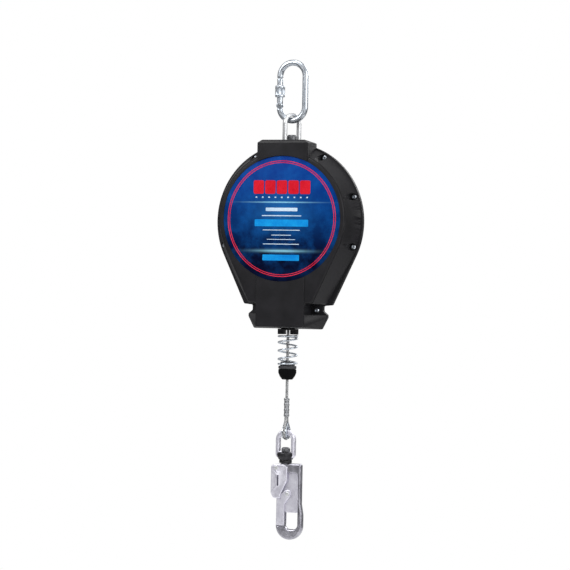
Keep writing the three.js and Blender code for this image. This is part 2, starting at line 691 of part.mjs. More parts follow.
piece('hook_frame', cut(
  joined(
    cut(midPlate(bowShape, HOOK_T, 2.4), tipClearance, ...pockets),
    midPlate(webShape, 2 * WEB),
    alongZ(6.2, 6.2, -437, -417.2, 0, 20),
  ),
  alongZ(4.35, 4.35, -434.4, -410),
  alongY(2.3, -10, 10, px, pz, 16),
  alongY(2.3, -10, 10, LEVER_PIVOT.x, LEVER_PIVOT.z, 16),
), forged());

const gateShape = outline([
  [-13.5, -475], [1, -463.8], [6.5, -462.2], [11.8, -464.5], [12.3, -471.5], [7, -477],
  [1.5, -487], [1.5, -523.5], [-13.5, -523.5],
]);
piece('hook_gate', cut(
  midPlate(gateShape, 12.6, 0.8),
  box(-11.3, 23, -3.9, 3.9, -530, -450),
  box(-21.5, 23, -3.9, 3.9, -530, -511),
  alongY(2.3, -10, 10, px, pz, 16),
), forged());

const leverShape = outline([
  [-23.5, -424], [-18.5, -419], [1, -419], [6.5, -424], [6.5, -446], [-5.5, -471], [-6, -477],
  [-18.5, -477], [-23.5, -469],
]);
const leverSlot = joined(
  box(-12, -9, -12, -6, -454.5, -438.5),
  alongY(1.5, -12, -6, -10.5, -438.5, 12),
  alongY(1.5, -12, -6, -10.5, -454.5, 12),
);
piece('hook_lock_lever', cut(
  midPlate(leverShape, 18, 1),
  box(-21.5, 13, -6.7, 6.7, -480, -410),
  box(-27, 13, -6.7, 6.7, -480, -471),
  leverSlot,
  alongY(2.3, -12, 12, LEVER_PIVOT.x, LEVER_PIVOT.z, 16),
), forged());

/** A rivet with a head on both sides; grip is half the stack it holds. */
function rivet(x, z, grip) {
  return joined(
    alongY(2, -grip - 1, grip + 1, x, z, 12),
    alongY(3.6, grip, grip + 1.2, x, z, 16),
    alongY(3.6, -grip - 1.2, -grip, x, z, 16),
  );
}

piece('hook_gate_rivet', rivet(px, pz, 6.6), steel());
piece('hook_lever_rivet', rivet(LEVER_PIVOT.x, LEVER_PIVOT.z, 9.3), steel());

export default group;
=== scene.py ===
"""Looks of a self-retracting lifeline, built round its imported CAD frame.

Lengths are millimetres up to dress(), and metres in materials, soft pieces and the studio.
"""

import json
import math

import bmesh
import bpy
from mathutils import Matrix, Vector


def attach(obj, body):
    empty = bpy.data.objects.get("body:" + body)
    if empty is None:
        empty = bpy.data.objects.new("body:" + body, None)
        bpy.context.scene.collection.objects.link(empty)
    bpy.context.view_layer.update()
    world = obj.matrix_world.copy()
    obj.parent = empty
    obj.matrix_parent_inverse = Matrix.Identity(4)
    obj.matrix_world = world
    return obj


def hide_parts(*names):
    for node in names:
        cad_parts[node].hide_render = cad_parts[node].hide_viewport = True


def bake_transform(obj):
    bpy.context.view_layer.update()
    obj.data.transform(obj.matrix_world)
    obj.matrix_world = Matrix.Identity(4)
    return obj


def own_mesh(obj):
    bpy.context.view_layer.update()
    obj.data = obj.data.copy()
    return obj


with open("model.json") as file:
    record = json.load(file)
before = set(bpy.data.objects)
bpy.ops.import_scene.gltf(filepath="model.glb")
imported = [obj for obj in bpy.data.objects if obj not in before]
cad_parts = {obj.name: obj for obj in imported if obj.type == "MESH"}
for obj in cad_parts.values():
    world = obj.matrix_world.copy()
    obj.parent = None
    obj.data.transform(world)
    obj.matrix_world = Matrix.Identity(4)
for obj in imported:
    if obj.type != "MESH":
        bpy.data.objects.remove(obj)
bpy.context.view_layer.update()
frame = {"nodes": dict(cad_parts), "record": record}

MM = 0.001
MID = -42.0  # y of the plane between the casing halves, which holds the line and the anchor
TAU = 2 * math.pi
ORIGIN = (0, 0, 0)
LABEL_R = 106.5
scene = bpy.context.scene

# ---------------------------------------------------------------- mesh tools


def finish_mesh(name, bm, smooth_angle=38):
    """Turns bm into a smooth-shaded object. Pieces stay in millimetres until dress()."""
    bmesh.ops.remove_doubles(bm, verts=bm.verts, dist=1e-4)
    bmesh.ops.recalc_face_normals(bm, faces=bm.faces)
    me = bpy.data.meshes.new(name)
    bm.to_mesh(me)
    bm.free()
    ob = bpy.data.objects.new(name, me)
    scene.collection.objects.link(ob)
    shade(ob, smooth_angle)
    return ob


def shade(ob, angle=38):
    """Smooth shading, with edges sharper than angle degrees kept crisp."""
    for polygon in ob.data.polygons:
        polygon.use_smooth = True
    ob.data.set_sharp_from_angle(angle=math.radians(angle))


def rounded(corners, steps=5):
    """A closed outline through (x, z, radius) corners, each rounded by its radius."""
    out = []
    n = len(corners)
    for i, (x, z, r) in enumerate(corners):
        p = Vector((x, z))
        a = Vector(corners[i - 1][:2]) - p
        b = Vector(corners[(i + 1) % n][:2]) - p
        half = a.angle(b) / 2 if a.length and b.length else 0
        if r <= 0 or abs(half - math.pi / 2) < 1e-3 or half < 1e-3:
            out.append((x, z))
            continue
        d = min(r / math.tan(half), a.length * 0.49, b.length * 0.49)
        rr = d * math.tan(half)
        u, v = a.normalized(), b.normalized()
        c = p + (u + v).normalized() * (rr / math.sin(half))
        s, e = p + u * d - c, p + v * d - c
        a0 = math.atan2(s.y, s.x)
        turn = (math.atan2(e.y, e.x) - a0 + math.pi) % TAU - math.pi
        for k in range(steps + 1):
            t = a0 + turn * k / steps
            out.append((c.x + rr * math.cos(t), c.y + rr * math.sin(t)))
    return out


def arc(cx, cz, r, a0, a1, n):
    """Points on a circle from a0 to a1 degrees."""
    turns = [math.radians(a0 + (a1 - a0) * k / n) for k in range(n + 1)]
    return [(cx + r * math.cos(t), cz + r * math.sin(t)) for t in turns]


AXES = {
    "Y": Matrix(((1, 0, 0), (0, 0, -1), (0, 1, 0))),
    "X": Matrix(((0, 0, 1), (1, 0, 0), (0, 1, 0))),
    "Z": Matrix(((1, 0, 0), (0, 1, 0), (0, 0, 1))),
}


def slab(name, outlines, lo, hi, bevel=0.5, res=3, axis="Y"):
    """A flat plate with rounded edges, from lo to hi along axis.

    The first outline is its edge, and the others are holes.
    """
    cu = bpy.data.curves.new(name, "CURVE")
    cu.dimensions = "2D"
    cu.fill_mode = "BOTH"
    for pts in outlines:
        sp = cu.splines.new("POLY")
        sp.points.add(len(pts) - 1)
        for q, (x, z) in zip(sp.points, pts):
            q.co = (x, z, 0, 1)
        sp.use_cyclic_u = True
    cu.bevel_depth = bevel
    cu.bevel_resolution = res
    cu.offset = -bevel
    cu.extrude = (hi - lo) / 2 - bevel
    tmp = bpy.data.objects.new(name, cu)
    scene.collection.objects.link(tmp)
    me = bpy.data.meshes.new_from_object(tmp.evaluated_get(bpy.context.evaluated_depsgraph_get()))
    bpy.data.objects.remove(tmp)
    bm = bmesh.new()
    bm.from_mesh(me)
    place = AXES[axis].to_4x4()
    mid = (lo + hi) / 2
    place.translation = {"X": (mid, 0, 0), "Y": (0, mid, 0), "Z": (0, 0, mid)}[axis]
    bmesh.ops.transform(bm, matrix=place, verts=bm.verts)
    return finish_mesh(name, bm)


def lathe(bm, profile, segs=48, axis="Z", centre=(0.0, MID, 0.0), ripple=None, loop=False):
    """Adds a turned shape.

    profile is (radius, height) pairs. ripple is (count, depth, low, high) for grip grooves.
    """
    c = Vector(centre)
    rings = []
    for r, h in profile:
        ring = []
        for i in range(segs if r > 1e-6 else 1):
            t = TAU * i / segs
            rr = r
            if ripple and ripple[2] <= h <= ripple[3]:
                rr -= ripple[1] * (0.5 - 0.5 * math.cos(ripple[0] * t))
            u, v = rr * math.cos(t), rr * math.sin(t)
            p = {"Z": (u, v, h), "Y": (u, h, v), "X": (h, u, v)}[axis]
            ring.append(bm.verts.new(c + Vector(p)))
        rings.append(ring)
    pairs = list(zip(rings, rings[1:]))
    if loop:
        pairs.append((rings[-1], rings[0]))
    for a, b in pairs:
        for i in range(segs):
            j = (i + 1) % segs
            quad = [a[i % len(a)], a[j % len(a)], b[j % len(b)], b[i % len(b)]]
            face = list(dict.fromkeys(quad))
            if len(face) > 2:
                bm.faces.new(face)


def turned(name, profile, **kw):
    """A turned piece on its own."""
    bm = bmesh.new()
    lathe(bm, profile, **kw)
    return finish_mesh(name, bm)


def disc_profile(r, lo, hi, fillet=0.5, steps=3):
    """A solid turned disc with rounded rims."""
    return rounded([(0, lo, 0), (r, lo, fillet), (r, hi, fillet), (0, hi, 0)], steps)


def pipe_profile(outer, inner, lo, hi, fillet=0.4, steps=3):
    """A turned pipe with rounded rims."""
    corners = [(inner, lo), (outer, lo), (outer, hi), (inner, hi)]
    return rounded([(r, h, fillet) for r, h in corners], steps)


def sweep(bm, pts, radii, sides=16):
    """Adds a round bar along pts, closed at both ends. radii is one radius or one per point."""
    n = len(pts)
    pts = [Vector(p) for p in pts]
    tangents = []
    for i in range(n):
        a = pts[max(i - 1, 0)]
        b = pts[min(i + 1, n - 1)]
        tangents.append((b - a).normalized())
    side = tangents[0].orthogonal().normalized()
    rings = []
    for i in range(n):
        t = tangents[i]
        side = (side - t * side.dot(t)).normalized()
        other = t.cross(side)
        r = radii[i] if isinstance(radii, (list, tuple)) else radii
        turns = [TAU * k / sides for k in range(sides)]
        rings.append([bm.verts.new(pts[i] + r * (side * math.cos(a) + other * math.sin(a))) for a in turns])
    for a, b in zip(rings, rings[1:]):
        for k in range(sides):
            j = (k + 1) % sides
            bm.faces.new((a[k], a[j], b[j], b[k]))
    bm.faces.new(rings[0][::-1])
    bm.faces.new(rings[-1])


def along(pts, step):
    """pts redrawn at about even steps."""
    pts = [Vector(p) for p in pts]
    lengths = [0.0]
    for a, b in zip(pts, pts[1:]):
        lengths.append(lengths[-1] + (b - a).length)
    count = max(2, round(lengths[-1] / step))
    out, k = [], 0
    for i in range(count + 1):
        s = lengths[-1] * i / count
        while k < len(pts) - 2 and lengths[k + 1] < s:
            k += 1
        f = (s - lengths[k]) / max(1e-9, lengths[k + 1] - lengths[k])
        out.append(pts[k].lerp(pts[k + 1], f))
    return out


ROPE_R = 2.5
STRANDS = 6
STRAND_SIDES = 8


def wire_strands(name, pts, lay=34.0, step=1.6):
    """A wire rope of strands laid round a core, along pts. lay is the length of one turn of a strand."""
    pts = along(pts, step)
    n = len(pts)
    bm = bmesh.new()
    strand = ROPE_R / 3.0
    side = None
    frames = []
    for i in range(n):
        t = (pts[min(i + 1, n - 1)] - pts[max(i - 1, 0)]).normalized()
        side = t.orthogonal().normalized() if side is None else (side - t * side.dot(t)).normalized()
        frames.append((side.copy(), t.cross(side)))
    length = [0.0]
    for a, b in zip(pts, pts[1:]):
        length.append(length[-1] + (b - a).length)
    for s in range(STRANDS):
        path = []
        for i in range(n):
            a = TAU * (s / STRANDS + length[i] / lay)
            u, v = frames[i]
            path.append(pts[i] + (ROPE_R - strand) * (u * math.cos(a) + v * math.sin(a)))
        sweep(bm, path, strand * 1.04, STRAND_SIDES)
    sweep(bm, pts, strand * 1.1, STRAND_SIDES)
    return finish_mesh(name, bm, 60)


def carve(ob, *others, op="DIFFERENCE"):
    """Cuts the others from ob, or joins them to it, and removes them."""
    for other in others:
        mod = ob.modifiers.new("carve", "BOOLEAN")
        mod.operation = op
        mod.solver = "MANIFOLD"
        mod.object = other
        me = bpy.data.meshes.new_from_object(ob.evaluated_get(bpy.context.evaluated_depsgraph_get()))
        ob.modifiers.clear()
        ob.data = me
        bpy.data.objects.remove(other)
    shade(ob)
    return ob


def merge(ob, *others):
    """Joins the others to ob and removes them."""
    return carve(ob, *others, op="UNION")


def block(x0, x1, y0, y1, z0, z1):
    """A plain box, for cutting or for building on."""
    bm = bmesh.new()
    bmesh.ops.create_cube(bm, size=1)
    bmesh.ops.scale(bm, vec=(x1 - x0, y1 - y0, z1 - z0), verts=bm.verts)
    bmesh.ops.translate(bm, vec=((x0 + x1) / 2, (y0 + y1) / 2, (z0 + z1) / 2), verts=bm.verts)
    return finish_mesh("cutter", bm)


def rod(r, lo, hi, axis="Z", x=0.0, z=0.0, segs=32):
    """A plain cutter cylinder; lo and hi are along its axis."""
    centre = (x, MID, 0) if axis == "Z" else (x, 0, z)
    return turned("cutter", [(0, lo), (r, lo), (r, hi), (0, hi)], segs=segs, axis=axis, centre=centre)


def hull(points):
    """The convex solid round some points."""
    bm = bmesh.new()
    for p in points:
        bm.verts.new(p)
    made = bmesh.ops.convex_hull(bm, input=bm.verts)
    left_over = [g for g in made["geom_interior"] + made["geom_unused"] if isinstance(g, bmesh.types.BMVert)]
    bmesh.ops.delete(bm, geom=left_over, context="VERTS")
    bmesh.ops.dissolve_limit(bm, angle_limit=0.02, verts=bm.verts, edges=bm.edges)
    return finish_mesh("hull", bm)


def soften(ob, width, segments=2, angle=40):
    """Rounds the sharp edges of ob."""
    mod = ob.modifiers.new("soften", "BEVEL")
    mod.width = width
    mod.segments = segments
    mod.limit_method = "ANGLE"
    mod.angle_limit = math.radians(angle)
    mod.use_clamp_overlap = True
    me = bpy.data.meshes.new_from_object(ob.evaluated_get(bpy.context.evaluated_depsgraph_get()))
    ob.modifiers.clear()
    ob.data = me
    shade(ob, 50)
    return ob


# ---------------------------------------------------------------- materials


def shader(name):
    """A new node material, its tree and its surface node."""
    m = bpy.data.materials.new(name)
    m.use_nodes = True
    nt = m.node_tree
    return m, nt, nt.nodes["Principled BSDF"]


def node(nt, kind, **values):
    """A node with inputs or settings given by name."""
    n = nt.nodes.new(kind)
    for key, value in values.items():
        if hasattr(n, key):
            setattr(n, key, value)
        else:
            n.inputs[key.replace("_", " ")].default_value = value
    return n


def maths(nt, op, a, b=None):
    """A math node fed by sockets or numbers."""
    n = nt.nodes.new("ShaderNodeMath")
    n.operation = op
    for i, v in enumerate((a, b)):
        if v is None:
            continue
        if isinstance(v, (int, float)):
            n.inputs[i].default_value = v
        else:
            nt.links.new(v, n.inputs[i])
    return n.outputs[0]


def blend_colour(nt, factor, a, b):
    """The colour from a to b by factor; each is a socket or a value."""
    n = nt.nodes.new("ShaderNodeMix")
    n.data_type = "RGBA"
    for socket, v in ((n.inputs[0], factor), (n.inputs[6], a), (n.inputs[7], b)):
        if isinstance(v, (int, float)):
            socket.default_value = v
        elif isinstance(v, tuple):
            socket.default_value = (*v, 1)
        else:
            nt.links.new(v, socket)
    return n.outputs[2]


def spread(nt, source, lo, hi, from_lo=0.3, from_hi=0.7):
    """source's range from_lo to from_hi, mapped to lo to hi."""
    n = node(nt, "ShaderNodeMapRange")
    nt.links.new(source, n.inputs[0])
    n.inputs[1].default_value = from_lo
    n.inputs[2].default_value = from_hi
    n.inputs[3].default_value = lo
    n.inputs[4].default_value = hi
    return n.outputs[0]


def noise(nt, scale, detail=4.0, rough=0.55, stretch=None):
    """Object-space noise, in cells per metre."""
    co = nt.nodes.new("ShaderNodeTexCoord").outputs["Object"]
    if stretch:
        mp = nt.nodes.new("ShaderNodeMapping")
        mp.inputs["Scale"].default_value = stretch
        nt.links.new(co, mp.inputs["Vector"])
        co = mp.outputs[0]
    n = nt.nodes.new("ShaderNodeTexNoise")
    n.inputs["Scale"].default_value = scale
    n.inputs["Detail"].default_value = detail
    n.inputs["Roughness"].default_value = rough
    nt.links.new(co, n.inputs["Vector"])
    return n.outputs["Fac"]


def surface(
    name, dark, light, rough, metal=0.0,
    grain=900, bump=0.25, depth=0.00006, blotch=45, stretch=None, shine=0.5,
):
    """A material whose colour, roughness and relief vary: blotch is the broad pattern, grain the fine one."""
    m, nt, bsdf = shader(name)
    broad = noise(nt, blotch, 5)
    fine = noise(nt, grain, 3, 0.6, stretch)
    both = maths(nt, "ADD", maths(nt, "MULTIPLY", broad, 0.65), maths(nt, "MULTIPLY", fine, 0.35))
    nt.links.new(blend_colour(nt, spread(nt, both, 0, 1, 0.35, 0.65), dark, light), bsdf.inputs["Base Color"])
    nt.links.new(spread(nt, both, rough[0], rough[1], 0.32, 0.68), bsdf.inputs["Roughness"])
    bsdf.inputs["Metallic"].default_value = metal
    bsdf.inputs["Specular IOR Level"].default_value = shine
    b = node(nt, "ShaderNodeBump", Strength=bump, Distance=depth)
    nt.links.new(fine, b.inputs["Height"])
    nt.links.new(b.outputs[0], bsdf.inputs["Normal"])
    return m


def srgb(r, g, b):
    """8-bit screen colour as linear values."""
    return tuple(((v / 255 + 0.055) / 1.055) ** 2.4 if v > 10 else v / 255 / 12.92 for v in (r, g, b))


BLACK = surface(
    "black_plastic", srgb(19, 19, 21), srgb(28, 27, 31),
    (0.36, 0.52), grain=1700, bump=0.35, depth=0.00005, blotch=35, shine=0.25,
)
DARK_NYLON = surface("dark_nylon", srgb(38, 38, 40), srgb(54, 54, 57), (0.4, 0.6), grain=1400, bump=0.3)
RUBBER = surface(
    "black_rubber", srgb(9, 9, 10), srgb(17, 17, 18),
    (0.6, 0.85), grain=900, bump=0.5, depth=0.0001, shine=0.04,
)
ZINC = surface(
    "bright_zinc", srgb(178, 186, 195), srgb(212, 217, 223),
    (0.24, 0.36), 0.95, grain=900, bump=0.07, blotch=70,
)
FORGED = surface(
    "forged_zinc", srgb(212, 210, 222), srgb(234, 233, 242),
    (0.3, 0.44), 0.72, grain=420, bump=0.15, depth=0.00005, blotch=90,
)
# A darker copy of forged_zinc: painted shade for the hook's bow, spine and foot.
FORGED_PAINTED_SHADE = surface(
    "forged_rim", srgb(150, 149, 158), srgb(188, 187, 196),
    (0.24, 0.38), 1.0, grain=420, bump=0.15, depth=0.00005, blotch=90,
)
STEEL = surface(
    "plain_steel", srgb(200, 201, 203), srgb(228, 229, 230),
    (0.3, 0.44), 0.75, grain=1500, bump=0.15, blotch=100,
)
WIRE = surface(
    "rope_wire", srgb(140, 141, 142), srgb(196, 197, 198),
    (0.28, 0.5), 1.0, grain=2600, bump=0.4, depth=0.00008, blotch=260,
)
DARK_STEEL = surface(
    "dark_steel", srgb(92, 93, 96), srgb(132, 133, 136),
    (0.3, 0.5), 0.85, grain=900, bump=0.2, blotch=150,
)
OXIDE = surface(
    "black_oxide", srgb(40, 40, 42), srgb(66, 66, 69),
    (0.28, 0.42), 0.8, grain=900, bump=0.2, blotch=150,
)
ALUMINIUM = surface(
    "aluminium", srgb(140, 142, 145), srgb(178, 180, 183),
    (0.26, 0.42), 1.0, grain=1200, bump=0.2, stretch=(1, 1, 6),
)
FRICTION = surface(
    "friction_lining", srgb(84, 58, 42), srgb(124, 92, 70),
    (0.75, 0.95), grain=500, bump=0.6, depth=0.0001,
)
BRONZE = surface(
    "bearing_bronze", srgb(150, 116, 66), srgb(186, 150, 92),
    (0.35, 0.5), 1.0, grain=1000, bump=0.25,
)

LABEL_RED = surface(
    "label_red", srgb(196, 16, 34), srgb(222, 34, 52),
    (0.28, 0.36), grain=500, bump=0.05, shine=0.1,
)
LABEL_RING = surface(
    "label_ring", srgb(196, 26, 52), srgb(228, 60, 84),
    (0.28, 0.36), grain=500, bump=0.05, shine=0.1,
)
LABEL_CYAN = surface(
    "label_cyan", srgb(4, 120, 204), srgb(24, 158, 226),
    (0.28, 0.36), grain=400, bump=0.05, shine=0.1,
)
LABEL_WHITE = surface(
    "label_white", srgb(176, 204, 228), srgb(214, 230, 244),
    (0.3, 0.4), grain=400, bump=0.05, shine=0.1,
)


def label_print():
    """The label's printed ground: a blue gradient, clouds, a glow in the middle and two light streaks."""
    m, nt, bsdf = shader("label_ground")
    co = nt.nodes.new("ShaderNodeTexCoord").outputs["Object"]
    xyz = nt.nodes.new("ShaderNodeSeparateXYZ")
    nt.links.new(co, xyz.inputs[0])
    x, z = xyz.outputs[0], xyz.outputs[2]
    ramp = nt.nodes.new("ShaderNodeValToRGB")
    stops = [
        (0.0, srgb(0, 4, 30)), (0.25, srgb(0, 10, 44)), (0.5, srgb(0, 43, 100)),
        (0.8, srgb(0, 52, 128)), (1.0, srgb(0, 52, 134)),
    ]
    for i, (at, colour) in enumerate(stops):
        e = ramp.color_ramp.elements[i] if i < 2 else ramp.color_ramp.elements.new(at)
        e.position = at
        e.color = (*colour, 1)
    nt.links.new(spread(nt, z, 0, 1, -LABEL_R * MM, LABEL_R * MM), ramp.inputs[0])

    def bell(value, centre, width):
        """A soft peak, 1 at centre."""
        d = maths(nt, "DIVIDE", maths(nt, "SUBTRACT", value, centre), width)
        return maths(nt, "EXPONENT", maths(nt, "MULTIPLY", maths(nt, "MULTIPLY", d, d), -1.0))

    clouds = spread(nt, noise(nt, 38, 6, 0.65), 0, 0.45, 0.42, 0.72)
    dots = nt.nodes.new("ShaderNodeTexVoronoi")
    dots.inputs["Scale"].default_value = 420
    nt.links.new(co, dots.inputs["Vector"])
    speck = maths(nt, "MULTIPLY", spread(nt, dots.outputs["Distance"], 0.25, 0, 0.05, 0.35), clouds)
    colour = blend_colour(nt, maths(nt, "ADD", clouds, speck), ramp.outputs[0], srgb(14, 92, 170))
    glow = maths(nt, "MULTIPLY", bell(x, 0.0, 0.045), bell(z, 0.012, 0.03))
    colour = blend_colour(nt, maths(nt, "MULTIPLY", glow, 0.3), colour, srgb(50, 140, 210))
    low_shade = spread(nt, z, 0.75, 0.0, -0.1, -0.05)
    colour = blend_colour(nt, low_shade, colour, srgb(2, 9, 40))
    # Each streak is its height, thickness, width and strength.
    streaks = [(0.0279, 0.0010, 0.052, 0.85), (-0.0548, 0.0026, 0.044, 0.55), (-0.0548, 0.0009, 0.03, 0.7)]
    for height, thick, wide, strength in streaks:
        band = maths(nt, "MULTIPLY", bell(z, height, thick), bell(x, 0.0, wide))
        colour = blend_colour(nt, maths(nt, "MULTIPLY", band, strength), colour, srgb(150, 218, 240))
    nt.links.new(colour, bsdf.inputs["Base Color"])
    nt.links.new(spread(nt, noise(nt, 240, 3), 0.42, 0.52), bsdf.inputs["Roughness"])
    bsdf.inputs["Specular IOR Level"].default_value = 0.05
    b = node(nt, "ShaderNodeBump", Strength=0.06, Distance=0.00005)
    nt.links.new(noise(nt, 700, 2), b.inputs["Height"])
    nt.links.new(b.outputs[0], bsdf.inputs["Normal"])
    return m


LABEL_GROUND = label_print()

SLOT_MATERIAL = {
    "black_plastic": BLACK,
    "blue_label": LABEL_GROUND,
    "zinc_plate": ZINC,
    "forged_plate": FORGED,
    "steel": STEEL,
    "dark_steel": DARK_STEEL,
    "aluminium": ALUMINIUM,
    "nylon": DARK_NYLON,
    "friction": FRICTION,
    "bronze": BRONZE,
    "rubber": RUBBER,
}
NODE_SLOT = {s["node"]: s["material_slot"] for s in frame["record"]["subparts"]}
NODE_BODY = {n: b for b, ns in frame["record"]["behaviour"]["bodies"].items() for n in ns}
replaced = set()


def dress(ob, cad, material=None, follow=True):
    """ob, in millimetres, becomes the look of CAD node cad: in metres, with material if one is given, and in
    the same body if follow.
    """
    ob.name = cad + "_look"
    ob.data.name = ob.name
    ob.data.transform(Matrix.Scale(MM, 4))
    if material is not None:
        ob.data.materials.clear()
        ob.data.materials.append(material)
    if follow:
        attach(ob, NODE_BODY[cad])
    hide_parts(cad)
    replaced.add(cad)
    return ob


# ---------------------------------------------------------------- casing

PARTING = -42.15
FLANK_BACK = -44
FLANGE_FACE = -46
WALL_INSIDE = -79.5
FRONT_FACE = -82.4
REAR_FACE = -84.0
PLATEAU_R, PLATEAU_TAPER = 115, 25.5
FLANGE_R, FLANGE_TAPER, FLANGE_Z = 134, 25.5, -4
FOOT_R, FOOT_TAPER = 131.5, 29.5
SCREW_CIRCLE_R, SCREW_ANGLES = 125.5, (30, 70, 109.5)
NECK_SCREW_X, NECK_SCREW_Z = 53.9, -155
SCREW_POCKET_R = 6.2
CROWN_HALF_WIDTH = 46.4

# Corners below the tapered sides, each as x, z and radius. None stands for the x where the taper reaches z.
PLATEAU_LOWER = [(None, -144, 7), (44, -144, 6), (44, -184, 5)]
FLANGE_LOWER = [
    (None, -145.5, 3), (65, -147, 2.5), (65, -156, 4), (72.5, -162, 3), (72.5, -167, 3), (62, -187, 3),
]


def body_outline(r, z0, taper, lower, inset=0.0, n=60):
    """A round body about height z0 with tangent tapers and lower corners, moved in by inset."""
    r -= inset
    a = math.radians(taper)
    right = [(x, z, 0) for x, z in arc(0, z0, r, 90, -taper, n)]
    for x, z, rad in lower:
        zz = z + inset
        at = r * math.cos(a) + math.tan(a) * (zz - z0 + r * math.sin(a))
        right.append((at if x is None else x - inset, zz, rad))
    left = [(-x, z, rad) for x, z, rad in reversed(right)]
    return rounded(right + left[:-1], 5)


def loft(rings):
    """A solid through (y, outline) rings, capped at both ends."""
    bm = bmesh.new()
    made = [[bm.verts.new((x, y, z)) for x, z in outline] for y, outline in rings]
    for a, b in zip(made, made[1:]):
        for i in range(len(a)):
            j = (i + 1) % len(a)
            bm.faces.new((a[i], a[j], b[j], b[i]))
    bm.faces.new(made[0][::-1])
    bm.faces.new(made[-1])
    return finish_mesh("loft", bm)


def plateau(inset):
    """The outline of the flat face, moved in by inset."""
    return body_outline(PLATEAU_R, 0, PLATEAU_TAPER, PLATEAU_LOWER, inset)


SCREWS = []
for side in (1, -1):
    for angle in SCREW_ANGLES:
        a = math.radians(angle)
        SCREWS.append((side * SCREW_CIRCLE_R * math.sin(a), FLANGE_Z + SCREW_CIRCLE_R * math.cos(a)))
    SCREWS.append((side * NECK_SCREW_X, NECK_SCREW_Z))


def flank():
    """The sloping sides between the flange and the face, with the screw pockets and the grip pads."""
    foot = body_outline(FOOT_R, FLANGE_Z, FOOT_TAPER, [(None, -144.5, 4)])
    edge = body_outline(PLATEAU_R, 0, PLATEAU_TAPER, [(None, -144, 4)])
    ob = loft([(FLANK_BACK, foot), (FLANGE_FACE, foot), (-80, edge)])
    pad_side = [(0, -82), (114.7, -82), (115.3, -80), (120.5, -62), (131.4, -45), (132, -44), (0, -44)]
    for x0, x1 in ((100, 140), (-140, -100)):
        outside = block(x0, x1, -79.6, FLANGE_FACE, -43, 36.4)
        carve(ob, carve(outside, turned("pad", pad_side, axis="Y", centre=(0, 0, -2), segs=160)))
    for x, z in SCREWS:
        if z > NECK_SCREW_Z:
            carve(ob, rod(SCREW_POCKET_R, -90, FLANGE_FACE, "Y", x, z, 40))
    return soften(ob, 0.9, 3, 32)


def toe():
    """The lower box's sloping skirt."""
    face = [(x, -81, z) for x in (44, -44) for z in (-162.2, -184)]
    foot = [(-71.5, -162.2), (71.5, -162.2), (71.8, -167), (61.8, -186.6), (-61.8, -186.6), (-71.8, -167)]
    points = face + [(x, y, z) for x, z in foot for y in (FLANK_BACK, FLANGE_FACE)]
    return soften(hull(points), 1.2, 3, 25)


def crown():
    """The block above the label, on the front half only."""
    side_view = [
        (PARTING, 98, 0), (PARTING, 130, 0.6), (-79.8, 134.5, 4),
        (-82.6, 133, 3), (-84, 129, 3), (-84, 98, 0),
    ]
    ob = slab("crown", [rounded(side_view, 5)], -CROWN_HALF_WIDTH, CROWN_HALF_WIDTH, 1.4, 4, "X")
    for side in (1, -1):
        wedge = [(side * 36, 136), (side * 47, 128.4), (side * 60, 128.4), (side * 60, 136)]
        carve(ob, slab("wedge", [wedge if side > 0 else wedge[::-1]], -90, -40, 0.01, 0))
    return ob


def cover(face, *extras):
    """Half of the casing, as the front half, its face at y = face."""
    draft = [
        (PARTING, 0.0), (-60, 0.35),
        (face + 3.4, 0.8), (face + 2, 1.1), (face + 0.9, 1.8), (face + 0.25, 2.7), (face, 3.9),
    ]
    shell = loft([(y, plateau(inset)) for y, inset in draft])
    rim = body_outline(FLANGE_R, FLANGE_Z, FLANGE_TAPER, FLANGE_LOWER)
    flange = slab("flange", [rim], FLANGE_FACE, PARTING, 0.7, 3)
    whole = merge(shell, flange, flank(), toe(), *extras)
    inside = loft([(WALL_INSIDE, plateau(5.2)), (-41, plateau(4.5))])
    openings = [rod(20, 125.5, 140, segs=48), rod(5.5, 115, 130), rod(12.5, -190, -175)]
    screw_holes = [rod(2.3, -50, -40, "Y", x, z, 12) for x, z in SCREWS]
    return carve(whole, inside, *openings, *screw_holes)


tongue_edge = rounded([(44, -96, 0), (44, -184, 4), (-44, -184, 4), (-44, -96, 0)], 4)
tongue = slab("tongue", [tongue_edge], -84, -78, 1.0, 3)
raised = merge(crown(), tongue)
carve(raised, turned("clear", disc_profile(107.3, -86, -82.3, 0), axis="Y", centre=ORIGIN, segs=128))
front = cover(FRONT_FACE, raised)
carve(front, block(-37, 37, WALL_INSIDE, -41, 90, 121.65))
carve(front, turned("seat", disc_profile(106.8, -86, -81.6, 0), axis="Y", centre=ORIGIN, segs=128))
rear = cover(REAR_FACE, soften(block(-21.3, 21.3, -81.8, PARTING, 100, 125.3), 1.5, 3))
carve(rear, block(-17.4, 17.4, WALL_INSIDE, -41, 90, 121.65))
rear.data.transform(Matrix(((1, 0, 0, 0), (0, -1, 0, 2 * MID), (0, 0, 1, 0), (0, 0, 0, 1))))
rear.data.flip_normals()
groove = pipe_profile(98, 94, -1.2, 1, 0.4)
carve(rear, turned("groove", groove, axis="Y", centre=ORIGIN, segs=96, loop=True))
dress(front, "front_cover", BLACK)
dress(rear, "rear_cover", BLACK)

# ---------------------------------------------------------------- label


LABEL_BACK, LABEL_FRONT = -81.85, -82.26
PRINT_BACK, PRINT_FRONT = -82.2, -82.33
GROUND, RING, RED, CYAN, WHITE = range(5)


